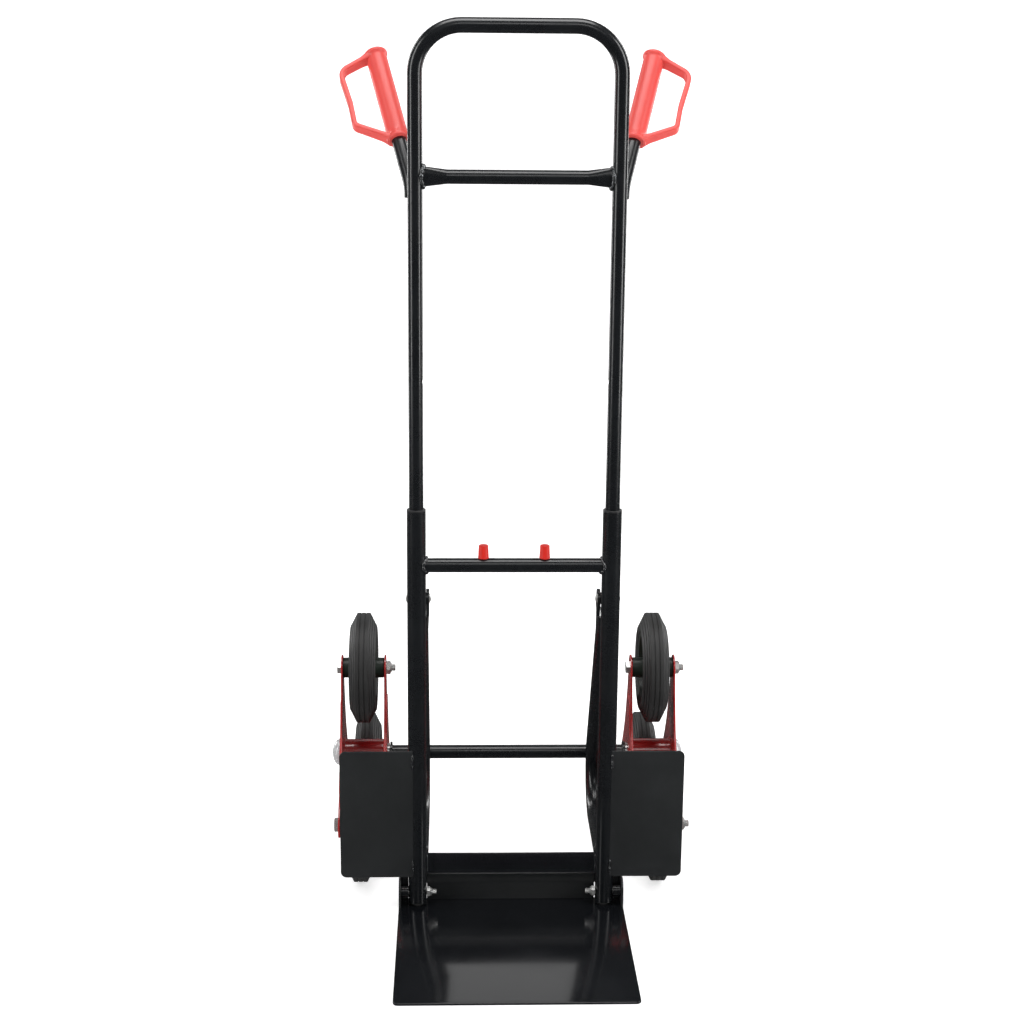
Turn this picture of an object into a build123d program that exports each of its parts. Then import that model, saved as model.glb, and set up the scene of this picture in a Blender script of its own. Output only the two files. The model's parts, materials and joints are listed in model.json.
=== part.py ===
from build123d import *
import math
import os

# Stair climbing trolley: telescopic handle, folding toe plate and a three-wheel star on each side.
# +X is the user's right-hand side seen from the front, +Y points to the rear (the star wheels),
# and +Z is up. The origin is the middle of the footprint, on the floor.
# Part names use left for -X and right for +X.

os.makedirs("parts", exist_ok=True)

# ---------------------------------------------------------------- driving dimensions, millimetres
wheel_radius = 80.0
star_radius = 131.0          # star centre to wheel centre
low_arm_angle = 30.0         # the two lower arms point this far below the horizontal
front_reach = 276.0          # side tube plane to the front edge of the toe plate
axle_setback = 205.0         # side tube plane to the axle
tube_x = 129.0               # side tube centres either side of the middle
overall_height = 1189.0

sleeve_radius = 12.5
sleeve_wall = 1.5
leg_radius = 9.5
leg_wall = 1.5
sleeve_top = 563.5
pivot_z = 20.5               # toe plate hinge
pivot_clear_radius = 17.2    # the foot of each side tube is rounded about the hinge
release_z = 489.5            # release crossbar and lock pins
handle_travel = 245.0
handle_bar_z = 995.5
leg_bottom = 458.0

# ---------------------------------------------------------------- worked-out positions
low_arm = math.radians(low_arm_angle)
axle_z = wheel_radius + star_radius * math.sin(low_arm)
total_depth = front_reach + axle_setback + star_radius * math.cos(low_arm) + wheel_radius
front_y = -total_depth / 2
tube_y = front_y + front_reach
axle_y = tube_y + axle_setback
top_bar_z = overall_height - leg_radius
sides = {"left": -1, "right": 1}
arms = {"upper": 90.0, "front": 180.0 + low_arm_angle, "rear": 360.0 - low_arm_angle}


def across(x, y=0.0, z=0.0):
    """Plane facing +X, whose local x is +Y and local y is +Z."""
    return Plane(origin=(x, y, z), x_dir=(0, 1, 0), z_dir=(1, 0, 0))


def arm_point(angle, reach=star_radius):
    """Y and Z at a distance from the axle along a star arm."""
    turn = math.radians(angle)
    return (axle_y + reach * math.cos(turn), axle_z + reach * math.sin(turn))


def save(part, name):
    part.label = name
    export_step(part, f"parts/{name}.step")


def ring_x(x_start, x_end, y, z, outer, inner):
    """Ring or washer about a line along X."""
    with BuildPart() as ring:
        with BuildSketch(across(x_start, y, z)):
            Circle(outer)
            Circle(inner, mode=Mode.SUBTRACT)
        extrude(amount=x_end - x_start)
    return ring.part


def domed_head_x(x_seat, height, y, z, radius):
    """Spherical cap standing height mm along X from its seat, either way."""
    way = 1 if height > 0 else -1
    rise = abs(height)
    ball = (radius ** 2 + rise ** 2) / (2 * rise)
    seat = Plane(origin=(x_seat, y, z), x_dir=(0, way, 0), z_dir=(way, 0, 0))
    with BuildPart(seat) as head:
        with BuildSketch(seat):
            Circle(radius)
        extrude(amount=rise)
        with Locations((0, 0, rise - ball)):
            Sphere(ball, mode=Mode.INTERSECT)
    return head.part


def cone_x(x_start, start_radius, x_end, end_radius, y, z):
    """Cone frustum about a line along X."""
    with BuildPart() as cone:
        with BuildSketch(across(x_start, y, z)):
            Circle(start_radius)
        with BuildSketch(across(x_end, y, z)):
            Circle(end_radius)
        loft()
    return cone.part


def hex_bolt_x(x_seat, reach, y, z, radius, across_flats, head):
    """Bolt whose head stands at x_seat and whose shank runs reach mm along X, either way."""
    way = 1 if reach > 0 else -1
    with BuildPart() as bolt:
        with BuildSketch(across(x_seat, y, z)):
            RegularPolygon(across_flats / 2, 6, major_radius=False)
        extrude(amount=-way * head)
        with BuildSketch(across(x_seat - way * head, y, z)):
            Circle(across_flats / 2)
        extrude(amount=way * head, taper=-30, mode=Mode.INTERSECT)
        with BuildSketch(across(x_seat, y, z)):
            Circle(radius)
        extrude(amount=reach)
        end = bolt.faces().filter_by(Axis.X).sort_by(Axis.X)[-1 if way > 0 else 0]
        chamfer(end.edges(), radius * 0.15)
    return bolt.part


def hex_nut_x(x_seat, height, y, z, radius, across_flats):
    """Nut standing height mm along X from its seat, either way."""
    way = 1 if height > 0 else -1
    with BuildPart() as nut:
        with BuildSketch(across(x_seat, y, z)):
            RegularPolygon(across_flats / 2, 6, major_radius=False)
        extrude(amount=height)
        with BuildSketch(across(x_seat + height, y, z)):
            Circle(across_flats / 2)
        extrude(amount=-height, taper=-30, mode=Mode.INTERSECT)
        with BuildSketch(across(x_seat - way, y, z)):
            Circle(radius)
        extrude(amount=height + 2 * way, mode=Mode.SUBTRACT)
    return nut.part


# ================================================================ frame: side tubes
pin_radius = 4.0
pin_hole_radius = 4.3
pivot_bolt_radius = 4.0
bolt_play = 0.1

for side, sx in sides.items():
    with BuildPart() as side_tube:
        with BuildSketch(Plane.XY):
            with Locations((sx * tube_x, tube_y)):
                Circle(sleeve_radius)
                Circle(sleeve_radius - sleeve_wall, mode=Mode.SUBTRACT)
        extrude(amount=sleeve_top)
        # the foot is rounded about the toe plate hinge, so that the plate can turn under it
        with BuildSketch(across(sx * tube_x - 2 * sleeve_radius, tube_y, pivot_z)):
            with Locations((0, -2 * sleeve_radius)):
                Rectangle(4 * sleeve_radius, 4 * sleeve_radius)
            Circle(pivot_clear_radius, mode=Mode.SUBTRACT)
        extrude(amount=4 * sleeve_radius, mode=Mode.SUBTRACT)
        # hinge bolt hole through both walls
        with BuildSketch(across(sx * tube_x - 2 * sleeve_radius, tube_y, pivot_z)):
            Circle(pivot_bolt_radius + bolt_play)
        extrude(amount=4 * sleeve_radius, mode=Mode.SUBTRACT)
        # lock pin hole through the inner wall only
        with BuildSketch(across(sx * (tube_x - 2 * sleeve_radius), tube_y, release_z)):
            Circle(pin_hole_radius)
        extrude(amount=sx * 2 * sleeve_radius, mode=Mode.SUBTRACT)
    save(side_tube.part, f"{side}_side_tube")

# plastic guide bushes in the mouths of the side tubes
guide_depth = 38.0
guide_flange = 2.5
guide_bore = leg_radius + 0.06
with BuildPart() as guide_bushes:
    for sx in sides.values():
        with BuildSketch(Plane.XY.offset(sleeve_top - guide_depth)):
            with Locations((sx * tube_x, tube_y)):
                Circle(sleeve_radius - sleeve_wall)
        extrude(amount=guide_depth)
        with BuildSketch(Plane.XY.offset(sleeve_top)):
            with Locations((sx * tube_x, tube_y)):
                Circle(sleeve_radius)
        extrude(amount=guide_flange)
    flange_tops = guide_bushes.faces().filter_by(Axis.Z).group_by(Axis.Z)[-1]
    fillet(flange_tops.edges(), 1.2)
    for sx in sides.values():
        with BuildSketch(Plane.XY.offset(sleeve_top - guide_depth)):
            with Locations((sx * tube_x, tube_y)):
                Circle(guide_bore)
        extrude(amount=guide_depth + guide_flange, mode=Mode.SUBTRACT)
save(guide_bushes.part, "guide_bushes")

# ================================================================ frame: crossbars and plates
bar_radius = 9.5
bar_wall = 1.5
knob_x = 40.5
lock_stroke = 10.0
knob_stem_radius = 3.0
slot_width = 2 * knob_stem_radius + 0.8
slot_outer = knob_x + knob_stem_radius + 1.0
slot_inner = knob_x - lock_stroke - knob_stem_radius - 2.5
slot_length = slot_outer - slot_inner
slot_middle = (slot_outer + slot_inner) / 2

with BuildPart() as release_crossbar:
    with BuildSketch(across(-tube_x, tube_y, release_z)):
        Circle(bar_radius)
        Circle(bar_radius - bar_wall, mode=Mode.SUBTRACT)
    extrude(amount=2 * tube_x)
    with BuildSketch(Plane.XY.offset(release_z - 2 * bar_radius)):
        with Locations((-tube_x, tube_y), (tube_x, tube_y)):
            Circle(sleeve_radius)
    extrude(amount=4 * bar_radius, mode=Mode.SUBTRACT)
    with BuildSketch(Plane.XY.offset(release_z)):
        with Locations((-slot_middle, tube_y), (slot_middle, tube_y)):
            SlotOverall(slot_length, slot_width)
    extrude(amount=2 * bar_radius, mode=Mode.SUBTRACT)
save(release_crossbar.part, "release_crossbar")

cross_plate_bottom = 50.0
cross_plate_height = 28.0
plate_thickness = 3.0
with BuildPart() as lower_cross_plate:
    with BuildSketch(Plane.XY.offset(cross_plate_bottom)):
        with Locations((0, tube_y)):
            Rectangle(2 * tube_x, plate_thickness)
        with Locations((-tube_x, tube_y), (tube_x, tube_y)):
            Circle(sleeve_radius, mode=Mode.SUBTRACT)
    extrude(amount=cross_plate_height)
save(lower_cross_plate.part, "lower_cross_plate")

guard_inner_x = 134.0
guard_outer_x = 234.0
guard_bottom = 47.0
guard_top = 231.0
guard_thickness = 2.0
guard_corner = 8.0
guard_front_y = tube_y - 11.2
guard_width = guard_outer_x - guard_inner_x
guard_height = guard_top - guard_bottom
for side, sx in sides.items():
    with BuildPart() as wheel_guard:
        with BuildSketch(Plane.XZ.offset(-guard_front_y)) as guard_outline:
            with Locations((sx * (guard_inner_x + guard_width / 2), guard_bottom + guard_height / 2)):
                Rectangle(guard_width, guard_height)
            outer_corners = guard_outline.vertices().group_by(Axis.X)[-1 if sx > 0 else 0]
            fillet(outer_corners, guard_corner)
        extrude(amount=-guard_thickness)
        # the inner edge sits against the round of the side tube
        with BuildSketch(Plane.XY):
            with Locations((sx * tube_x, tube_y)):
                Circle(sleeve_radius)
        extrude(amount=2 * guard_top, mode=Mode.SUBTRACT)
    save(wheel_guard.part, f"{side}_wheel_guard")

# ================================================================ frame: axle
axle_radius = 10.0
axle_half_length = 252.0
with BuildPart() as axle:
    with BuildSketch(across(-axle_half_length, axle_y, axle_z)):
        Circle(axle_radius)
    extrude(amount=2 * axle_half_length)
    chamfer(axle.faces().filter_by(Axis.X).edges(), 1.0)
save(axle.part, "axle")

# ================================================================ frame: rear struts
strut_x = 126.5
strut_radius = 12.5
strut_wall = 1.5
strut_bend = 65.0
strut_back_y = tube_y + 183.3        # rearmost reach of the strut's centre line
strut_foot_z = 77.0
eye_y = tube_y + 19.5
eye_z = 438.0
eye_radius = 13.0
eye_inner_x = 112.5
eye_thickness = 4.0
rivet_radius = 4.0
round_start = 62.0                   # the tube is round this far below the eye
flat_start = 20.0                    # and fully squeezed this far below it
flat_half_width = 15.0

bend_y = strut_back_y - strut_bend
bend_z = strut_foot_z + strut_bend
to_bend = math.atan2(eye_z - bend_z, bend_y - eye_y)
slant = to_bend - math.asin(strut_bend / math.hypot(bend_y - eye_y, eye_z - bend_z))
corner_y = eye_y + (eye_z - strut_foot_z) / math.tan(slant)


def on_slant(distance, x):
    """Point on the strut's straight upper leg, measured down from the eye."""
    return (x, eye_y + distance * math.cos(slant), eye_z - distance * math.sin(slant))


def slant_plane(distance, x):
    """Section plane of the strut's upper leg, whose local x is +X."""
    return Plane(origin=on_slant(distance, x), x_dir=(1, 0, 0),
                 z_dir=(0, math.cos(slant), -math.sin(slant)))


for side, sx in sides.items():
    flat_x = sx * (eye_inner_x + eye_thickness / 2)
    with BuildPart() as strut:
        with BuildLine(across(sx * strut_x)) as strut_line:
            FilletPolyline(
                on_slant(round_start, 0)[1:],
                (corner_y, strut_foot_z),
                (tube_y + plate_thickness, strut_foot_z),
                radius=strut_bend,
            )
        with BuildSketch(slant_plane(round_start, sx * strut_x)):
            Circle(strut_radius)
            Circle(strut_radius - strut_wall, mode=Mode.SUBTRACT)
        sweep(path=strut_line.wire())
        # squeezed end, from round to flat
        with BuildSketch(slant_plane(round_start, sx * strut_x)):
            Circle(strut_radius)
        with BuildSketch(slant_plane(flat_start, flat_x)):
            Ellipse(eye_thickness / 2, flat_half_width)
        loft()
        with BuildSketch(slant_plane(flat_start + 0.5, flat_x)):
            Rectangle(eye_thickness, 2 * eye_radius)
        extrude(amount=-flat_start - 0.5)
        with BuildSketch(across(sx * eye_inner_x, eye_y, eye_z)):
            Circle(eye_radius)
        extrude(amount=sx * eye_thickness)
        with BuildSketch(across(sx * eye_inner_x, eye_y, eye_z)):
            Circle(rivet_radius)
        extrude(amount=sx * eye_thickness, mode=Mode.SUBTRACT)
        # the foot is coped to the side tube and the back of the bend to the axle
        with BuildSketch(Plane.XY):
            with Locations((sx * tube_x, tube_y)):
                Circle(sleeve_radius)
        extrude(amount=sleeve_top, mode=Mode.SUBTRACT)
        with BuildSketch(across(-axle_half_length, axle_y, axle_z)):
            Circle(axle_radius)
        extrude(amount=2 * axle_half_length, mode=Mode.SUBTRACT)
    save(strut.part, f"{side}_rear_strut")

boss_radius = 8.0
boss_inner_x = eye_inner_x + eye_thickness
boss_outer_x = tube_x + sleeve_radius
with BuildPart() as strut_bosses:
    for sx in sides.values():
        with BuildSketch(across(sx * boss_inner_x, eye_y, eye_z)):
            Circle(boss_radius)
        extrude(amount=sx * (boss_outer_x - boss_inner_x))
    with BuildSketch(Plane.XY):
        with Locations((-tube_x, tube_y), (tube_x, tube_y)):
            Circle(sleeve_radius)
    extrude(amount=sleeve_top, mode=Mode.SUBTRACT)
    with BuildSketch(across(-boss_outer_x, eye_y, eye_z)):
        Circle(rivet_radius)
    extrude(amount=2 * boss_outer_x, mode=Mode.SUBTRACT)
save(strut_bosses.part, "strut_bosses")

rivet_head_radius = 6.5
rivet_head_height = 2.6
with BuildPart() as strut_rivets:
    for sx in sides.values():
        with BuildSketch(across(sx * eye_inner_x, eye_y, eye_z)):
            Circle(rivet_radius)
        extrude(amount=sx * (boss_outer_x - eye_inner_x))
        add(domed_head_x(sx * eye_inner_x, -sx * rivet_head_height, eye_y, eye_z, rivet_head_radius))
        add(domed_head_x(sx * boss_outer_x, sx * rivet_head_height, eye_y, eye_z, rivet_head_radius))
save(strut_rivets.part, "strut_rivets")

# ================================================================ frame: axle fittings
star_inner_x = 178.0
star_outer_x = 243.0
pressing = 1.3                        # the middle of each star plate is pressed outwards by this
running_gap = 0.3
collar_thickness = 3.0
washer_thickness = 2.6
inner_washer_x = star_inner_x - pressing - running_gap - washer_thickness
outer_washer_x = star_outer_x + pressing + running_gap
collar_x = inner_washer_x - 1.0 - collar_thickness
outer_washer_thickness = 1.8
cap_x = outer_washer_x + outer_washer_thickness
cap_height = 11.0
cap_radius = 20.0
collar_radius = 15.0
washer_radius = 13.0

with BuildPart() as axle_stop_collars:
    for sx in sides.values():
        add(ring_x(sx * collar_x, sx * (collar_x + collar_thickness), axle_y, axle_z,
                   collar_radius, axle_radius))
save(axle_stop_collars.part, "axle_stop_collars")

with BuildPart() as axle_washers:
    for sx in sides.values():
        add(ring_x(sx * inner_washer_x, sx * (inner_washer_x + washer_thickness), axle_y, axle_z,
                   washer_radius, axle_radius + bolt_play))
        add(ring_x(sx * outer_washer_x, sx * (outer_washer_x + outer_washer_thickness), axle_y, axle_z,
                   collar_radius, axle_radius + bolt_play))
save(axle_washers.part, "axle_washers")

# domed push-on caps that grip the ends of the axle
with BuildPart() as axle_caps:
    for sx in sides.values():
        add(domed_head_x(sx * cap_x, sx * cap_height, axle_y, axle_z, cap_radius))
        with BuildSketch(across(sx * cap_x, axle_y, axle_z)):
            Circle(axle_radius)
        extrude(amount=sx * (axle_half_length - cap_x), mode=Mode.SUBTRACT)
save(axle_caps.part, "axle_caps")

# ================================================================ folding toe plate
toe_half_width = 155.0
toe_corner = 7.0
toe_rear_y = tube_y + 15.8
stop_flange_half_width = 115.9
stop_flange_top = 41.0
ear_half_width = 15.8
ear_top = 40.0
ear_inner_x = toe_half_width - plate_thickness
corner_flange_x = tube_x + sleeve_radius + 0.6
hinge_play = 0.06
bolt_sink = 2.7
sink_radius = 6.7
sink_clearance = 0.4

with BuildPart() as toe_plate:
    with BuildSketch(Plane.XY) as toe_outline:
        with Locations((0, (front_y + toe_rear_y) / 2)):
            Rectangle(2 * toe_half_width, toe_rear_y - front_y)
        fillet(toe_outline.vertices().group_by(Axis.Y)[0], toe_corner)
    extrude(amount=plate_thickness)
    # upturned rear flange between the side tubes
    with BuildSketch(Plane.XY):
        with Locations((0, toe_rear_y - plate_thickness / 2)):
            Rectangle(2 * stop_flange_half_width, plate_thickness)
    extrude(amount=stop_flange_top)
    # narrow flange at each rear corner, from beside the side tube out to the ear
    with BuildSketch(Plane.XY):
        for sx in sides.values():
            with Locations((sx * (corner_flange_x + toe_half_width) / 2, toe_rear_y - plate_thickness / 2)):
                Rectangle(toe_half_width - corner_flange_x, plate_thickness)
    extrude(amount=ear_top)
    # side ears with a countersunk hole for the hinge bolt
    for sx in sides.values():
        with BuildSketch(across(sx * ear_inner_x, tube_y)):
            with Locations((0, (ear_top - ear_half_width) / 2)):
                Rectangle(2 * ear_half_width, ear_top - ear_half_width)
            with Locations((0, ear_top - ear_half_width)):
                Circle(ear_half_width)
        extrude(amount=sx * plate_thickness)
        with BuildSketch(across(sx * ear_inner_x, tube_y, pivot_z)):
            Circle(pivot_bolt_radius + hinge_play)
        extrude(amount=sx * plate_thickness, mode=Mode.SUBTRACT)
        add(cone_x(sx * (toe_half_width - bolt_sink - sink_clearance), pivot_bolt_radius,
                   sx * toe_half_width, sink_radius + sink_clearance, tube_y, pivot_z),
            mode=Mode.SUBTRACT)
save(toe_plate.part, "toe_plate")

pivot_nut_x = tube_x - sleeve_radius - 0.3
pivot_nut_height = 6.5
pivot_nut_size = 13.0
pivot_bolt_end_x = 103.0
spacer_radius = 7.5
with BuildPart() as toe_pivot_bolts:
    for sx in sides.values():
        with BuildSketch(across(sx * pivot_bolt_end_x, tube_y, pivot_z)):
            Circle(pivot_bolt_radius)
        extrude(amount=sx * (toe_half_width - pivot_bolt_end_x))
        add(cone_x(sx * (toe_half_width - bolt_sink), pivot_bolt_radius,
                   sx * toe_half_width, sink_radius, tube_y, pivot_z))
save(toe_pivot_bolts.part, "toe_pivot_bolts")

with BuildPart() as toe_pivot_nuts:
    for sx in sides.values():
        add(hex_nut_x(sx * pivot_nut_x, -sx * pivot_nut_height, tube_y, pivot_z,
                      pivot_bolt_radius, pivot_nut_size))
save(toe_pivot_nuts.part, "toe_pivot_nuts")

with BuildPart() as toe_pivot_spacers:
    for sx in sides.values():
        add(ring_x(sx * (tube_x + sleeve_radius), sx * (ear_inner_x - running_gap), tube_y, pivot_z,
                   spacer_radius, pivot_bolt_radius + bolt_play))
save(toe_pivot_spacers.part, "toe_pivot_spacers")

# ================================================================ telescopic handle
handle_bend = 58.5
with BuildPart() as handle_tube:
    with BuildLine(Plane.XZ.offset(-tube_y)) as handle_line:
        FilletPolyline(
            (-tube_x, leg_bottom),
            (-tube_x, top_bar_z),
            (tube_x, top_bar_z),
            (tube_x, leg_bottom),
            radius=handle_bend,
        )
    with BuildSketch(Plane.XY.offset(leg_bottom)):
        with Locations((-tube_x, tube_y)):
            Circle(leg_radius)
            Circle(leg_radius - leg_wall, mode=Mode.SUBTRACT)
    sweep(path=handle_line.wire())
    # lock holes in the inner walls, for the raised and the lowered handle
    for sx in sides.values():
        for hole_z in (release_z, release_z + handle_travel):
            with BuildSketch(across(sx * (tube_x - 2 * leg_radius), tube_y, hole_z)):
                Circle(pin_hole_radius)
            extrude(amount=sx * 2 * leg_radius, mode=Mode.SUBTRACT)
save(handle_tube.part, "handle_tube")

# crossbar of the handle: a tube whose ends are squeezed tall and thin where they meet the legs
bar_squeeze_start = tube_x - 40.0
bar_squeeze_end = tube_x - leg_radius - 3.0
handle_bar_radius = 9.0
squeeze_half_depth = 6.0
squeeze_half_height = 12.5


def squeezed_bar(inset):
    """Solid of the crossbar's outline, taken in by inset."""
    with BuildPart() as bar:
        with BuildSketch(across(-bar_squeeze_start, tube_y, handle_bar_z)):
            Circle(handle_bar_radius - inset)
        extrude(amount=2 * bar_squeeze_start)
        for sx in sides.values():
            with BuildSketch(across(sx * bar_squeeze_start, tube_y, handle_bar_z)):
                Circle(handle_bar_radius - inset)
            with BuildSketch(across(sx * bar_squeeze_end, tube_y, handle_bar_z)):
                Ellipse(squeeze_half_depth - inset, squeeze_half_height - inset)
            loft()
            with BuildSketch(across(sx * bar_squeeze_end, tube_y, handle_bar_z)):
                Ellipse(squeeze_half_depth - inset, squeeze_half_height - inset)
            extrude(amount=sx * (tube_x - bar_squeeze_end))
    return bar.part


with BuildPart() as handle_crossbar:
    add(squeezed_bar(0.0))
    add(squeezed_bar(bar_wall), mode=Mode.SUBTRACT)
    with BuildSketch(Plane.XY.offset(handle_bar_z - 2 * squeeze_half_height)):
        with Locations((-tube_x, tube_y), (tube_x, tube_y)):
            Circle(leg_radius)
    extrude(amount=4 * squeeze_half_height, mode=Mode.SUBTRACT)
save(handle_crossbar.part, "handle_crossbar")

# plastic plugs that guide the feet of the legs inside the side tubes
plug_radius = sleeve_radius - sleeve_wall - 0.1
plug_height = 6.0
plug_stem = 12.0
with BuildPart() as handle_end_plugs:
    for sx in sides.values():
        with BuildSketch(Plane.XY.offset(leg_bottom - plug_height)):
            with Locations((sx * tube_x, tube_y)):
                Circle(plug_radius)
        extrude(amount=plug_height)
        with BuildSketch(Plane.XY.offset(leg_bottom)):
            with Locations((sx * tube_x, tube_y)):
                Circle(leg_radius - leg_wall)
        extrude(amount=plug_stem)
save(handle_end_plugs.part, "handle_end_plugs")

# ---------------------------------------------------------------- side grips
grip_foot_x = tube_x + 4.4
grip_foot_y = tube_y + 18.1
grip_foot_z = 968.0
grip_bend_z = 982.0
grip_bend_radius = 35.0
grip_rise = (50.0, 118.0, 164.0)     # outwards, backwards, upwards
grip_base = 70.0                     # grip flange, measured from the bend
grip_length = 138.0
grip_cap = 6.0
grip_radius = 13.5
grip_flange_radius = 15.5
grip_flange = 4.0
guard_strip = 5.0
guard_strip_width = 15.0
# centre line of the hand guard: outwards from the grip's axis, and up from its lower flange
guard_line = ((11.5, 1.5), (46.0, 39.0), (47.5, 120.0), (11.5, 135.0))
guard_bend = 9.0
grip_tube_end = grip_base + grip_length - grip_cap


def grip_axes(sx):
    """Directions along a grip, and out from it to its hand guard."""
    along = Vector(sx * grip_rise[0], grip_rise[1], grip_rise[2]).normalized()
    lean = along.X * sx
    out = (Vector(sx, 0, 0) - along * lean).normalized()
    return along, out


for side, sx in sides.items():
    along, out = grip_axes(sx)
    bend = Vector(sx * grip_foot_x, grip_foot_y, grip_bend_z)
    base = bend + along * grip_base
    with BuildPart() as grip_tube:
        with BuildLine() as grip_line:
            FilletPolyline(
                (sx * grip_foot_x, grip_foot_y, grip_foot_z),
                tuple(bend),
                tuple(bend + along * grip_tube_end),
                radius=grip_bend_radius,
            )
        with BuildSketch(Plane.XY.offset(grip_foot_z)):
            with Locations((sx * grip_foot_x, grip_foot_y)):
                Circle(leg_radius)
                Circle(leg_radius - leg_wall, mode=Mode.SUBTRACT)
        sweep(path=grip_line.wire())
        with BuildSketch(Plane.XY):
            with Locations((sx * tube_x, tube_y)):
                Circle(leg_radius)
        extrude(amount=top_bar_z, mode=Mode.SUBTRACT)
    save(grip_tube.part, f"{side}_grip_tube")

    with BuildPart() as grip:
        with BuildSketch(Plane(origin=base, x_dir=out, z_dir=along)):
            Circle(grip_radius)
        extrude(amount=grip_length)
        for flange_foot in (0.0, grip_length - grip_flange):
            with BuildSketch(Plane(origin=base + along * flange_foot, x_dir=out, z_dir=along)):
                Circle(grip_flange_radius)
            extrude(amount=grip_flange)
        with BuildSketch(Plane(origin=base, x_dir=out, z_dir=out.cross(along))):
            with BuildLine():
                FilletPolyline(*guard_line, radius=guard_bend)
            trace(line_width=guard_strip)
        extrude(amount=guard_strip_width / 2, both=True)
        with BuildSketch(Plane(origin=base, x_dir=out, z_dir=along)):
            Circle(leg_radius)
        extrude(amount=grip_length - grip_cap, mode=Mode.SUBTRACT)
    save(grip.part, f"{side}_grip")

# ================================================================ handle lock
pin_tip_x = tube_x - leg_radius - running_gap
pin_tail_x = 22.0
pin_block = 6.0                      # half length of the block that carries the knob
pin_block_radius = bar_radius - bar_wall - running_gap
stem_foot_z = release_z + 1.0
knob_foot_z = release_z + bar_radius + running_gap
knob_height = 17.8
knob_foot_radius = 7.0
knob_top_radius = 5.5
stop_half_length = 6.0
spring_radius = 6.0
spring_wire = 0.6
spring_turns = 6
spring_gap = 0.8

for side, sx in sides.items():
    with BuildPart() as lock_pin:
        with BuildSketch(across(sx * pin_tail_x, tube_y, release_z)):
            Circle(pin_radius)
        extrude(amount=sx * (pin_tip_x - pin_tail_x))
        chamfer(lock_pin.faces().filter_by(Axis.X).edges(), 0.8)
        with BuildSketch(across(sx * (knob_x - pin_block), tube_y, release_z)):
            Circle(pin_block_radius)
        extrude(amount=sx * 2 * pin_block)
        with BuildSketch(Plane.XY.offset(stem_foot_z)):
            with Locations((sx * knob_x, tube_y)):
                Circle(knob_stem_radius)
        extrude(amount=bar_radius, mode=Mode.SUBTRACT)
    save(lock_pin.part, f"{side}_lock_pin")

    with BuildPart() as release_knob:
        with BuildSketch(Plane.XY.offset(stem_foot_z)):
            with Locations((sx * knob_x, tube_y)):
                Circle(knob_stem_radius)
        extrude(amount=knob_foot_z - stem_foot_z)
        with BuildSketch(Plane.XY.offset(knob_foot_z)):
            with Locations((sx * knob_x, tube_y)):
                Circle(knob_foot_radius)
        with BuildSketch(Plane.XY.offset(knob_foot_z + knob_height)):
            with Locations((sx * knob_x, tube_y)):
                Circle(knob_top_radius)
        loft()
        fillet(release_knob.faces().sort_by(Axis.Z)[-1].edges(), 1.2)
    save(release_knob.part, f"{side}_release_knob")

    spring_start = stop_half_length + spring_gap
    spring_length = knob_x - pin_block - spring_gap - spring_start
    with BuildPart() as release_spring:
        with BuildLine():
            coil = Helix(
                pitch=spring_length / spring_turns,
                height=spring_length,
                radius=spring_radius,
                center=(sx * spring_start, tube_y, release_z),
                direction=(sx, 0, 0),
            )
        with BuildSketch(Plane(origin=coil @ 0, z_dir=coil % 0)):
            Circle(spring_wire)
        sweep(path=coil, is_frenet=True)
    save(release_spring.part, f"{side}_release_spring")

with BuildPart() as spring_stop:
    with BuildSketch(across(-stop_half_length, tube_y, release_z)):
        Circle(bar_radius - bar_wall)
    extrude(amount=2 * stop_half_length)
save(spring_stop.part, "spring_stop")

# ================================================================ three-wheel stars
sheet = 2.5
tip_radius = 18.5
waist = 62.0                         # axle to the middle of each hollow side of the plate
pressing_inset = 9.0
pressing_reach = 86.0
wheel_bolt_radius = 5.0
wheel_bolt_size = 17.0
wheel_bolt_head = 6.4
wheel_nut_height = 8.0
wheel_bolt_reach = 78.5
hub_tube_radius = 19.0
bush_radius = 15.0
bush_length = 20.0
axle_play = 0.06
plate_bore_radius = axle_radius + 0.4
spacer_outer_radius = 7.0

# the hollow sides are arcs that run tangent into the round tips
side_arc_centre = (star_radius ** 2 - (waist - tip_radius) ** 2) / (star_radius - 2 * (waist - tip_radius))
side_arc_radius = side_arc_centre - waist
tangent_share = side_arc_radius / (side_arc_radius + tip_radius)


def polar(radius, angle):
    return Vector(radius * math.cos(math.radians(angle)), radius * math.sin(math.radians(angle)))


def star_outline():
    """Closed line round the three tips, in a plane centred on the axle."""
    for angle in arms.values():
        tip = polar(star_radius, angle)
        before = polar(side_arc_centre, angle - 60)
        after = polar(side_arc_centre, angle + 60)
        tip_start = before + (tip - before) * tangent_share
        tip_end = after + (tip - after) * tangent_share
        next_tip = polar(star_radius, angle + 120)
        side_end = after + (next_tip - after) * tangent_share
        ThreePointArc(tip_start, polar(star_radius + tip_radius, angle), tip_end)
        ThreePointArc(tip_end, polar(waist, angle + 60), side_end)


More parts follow.
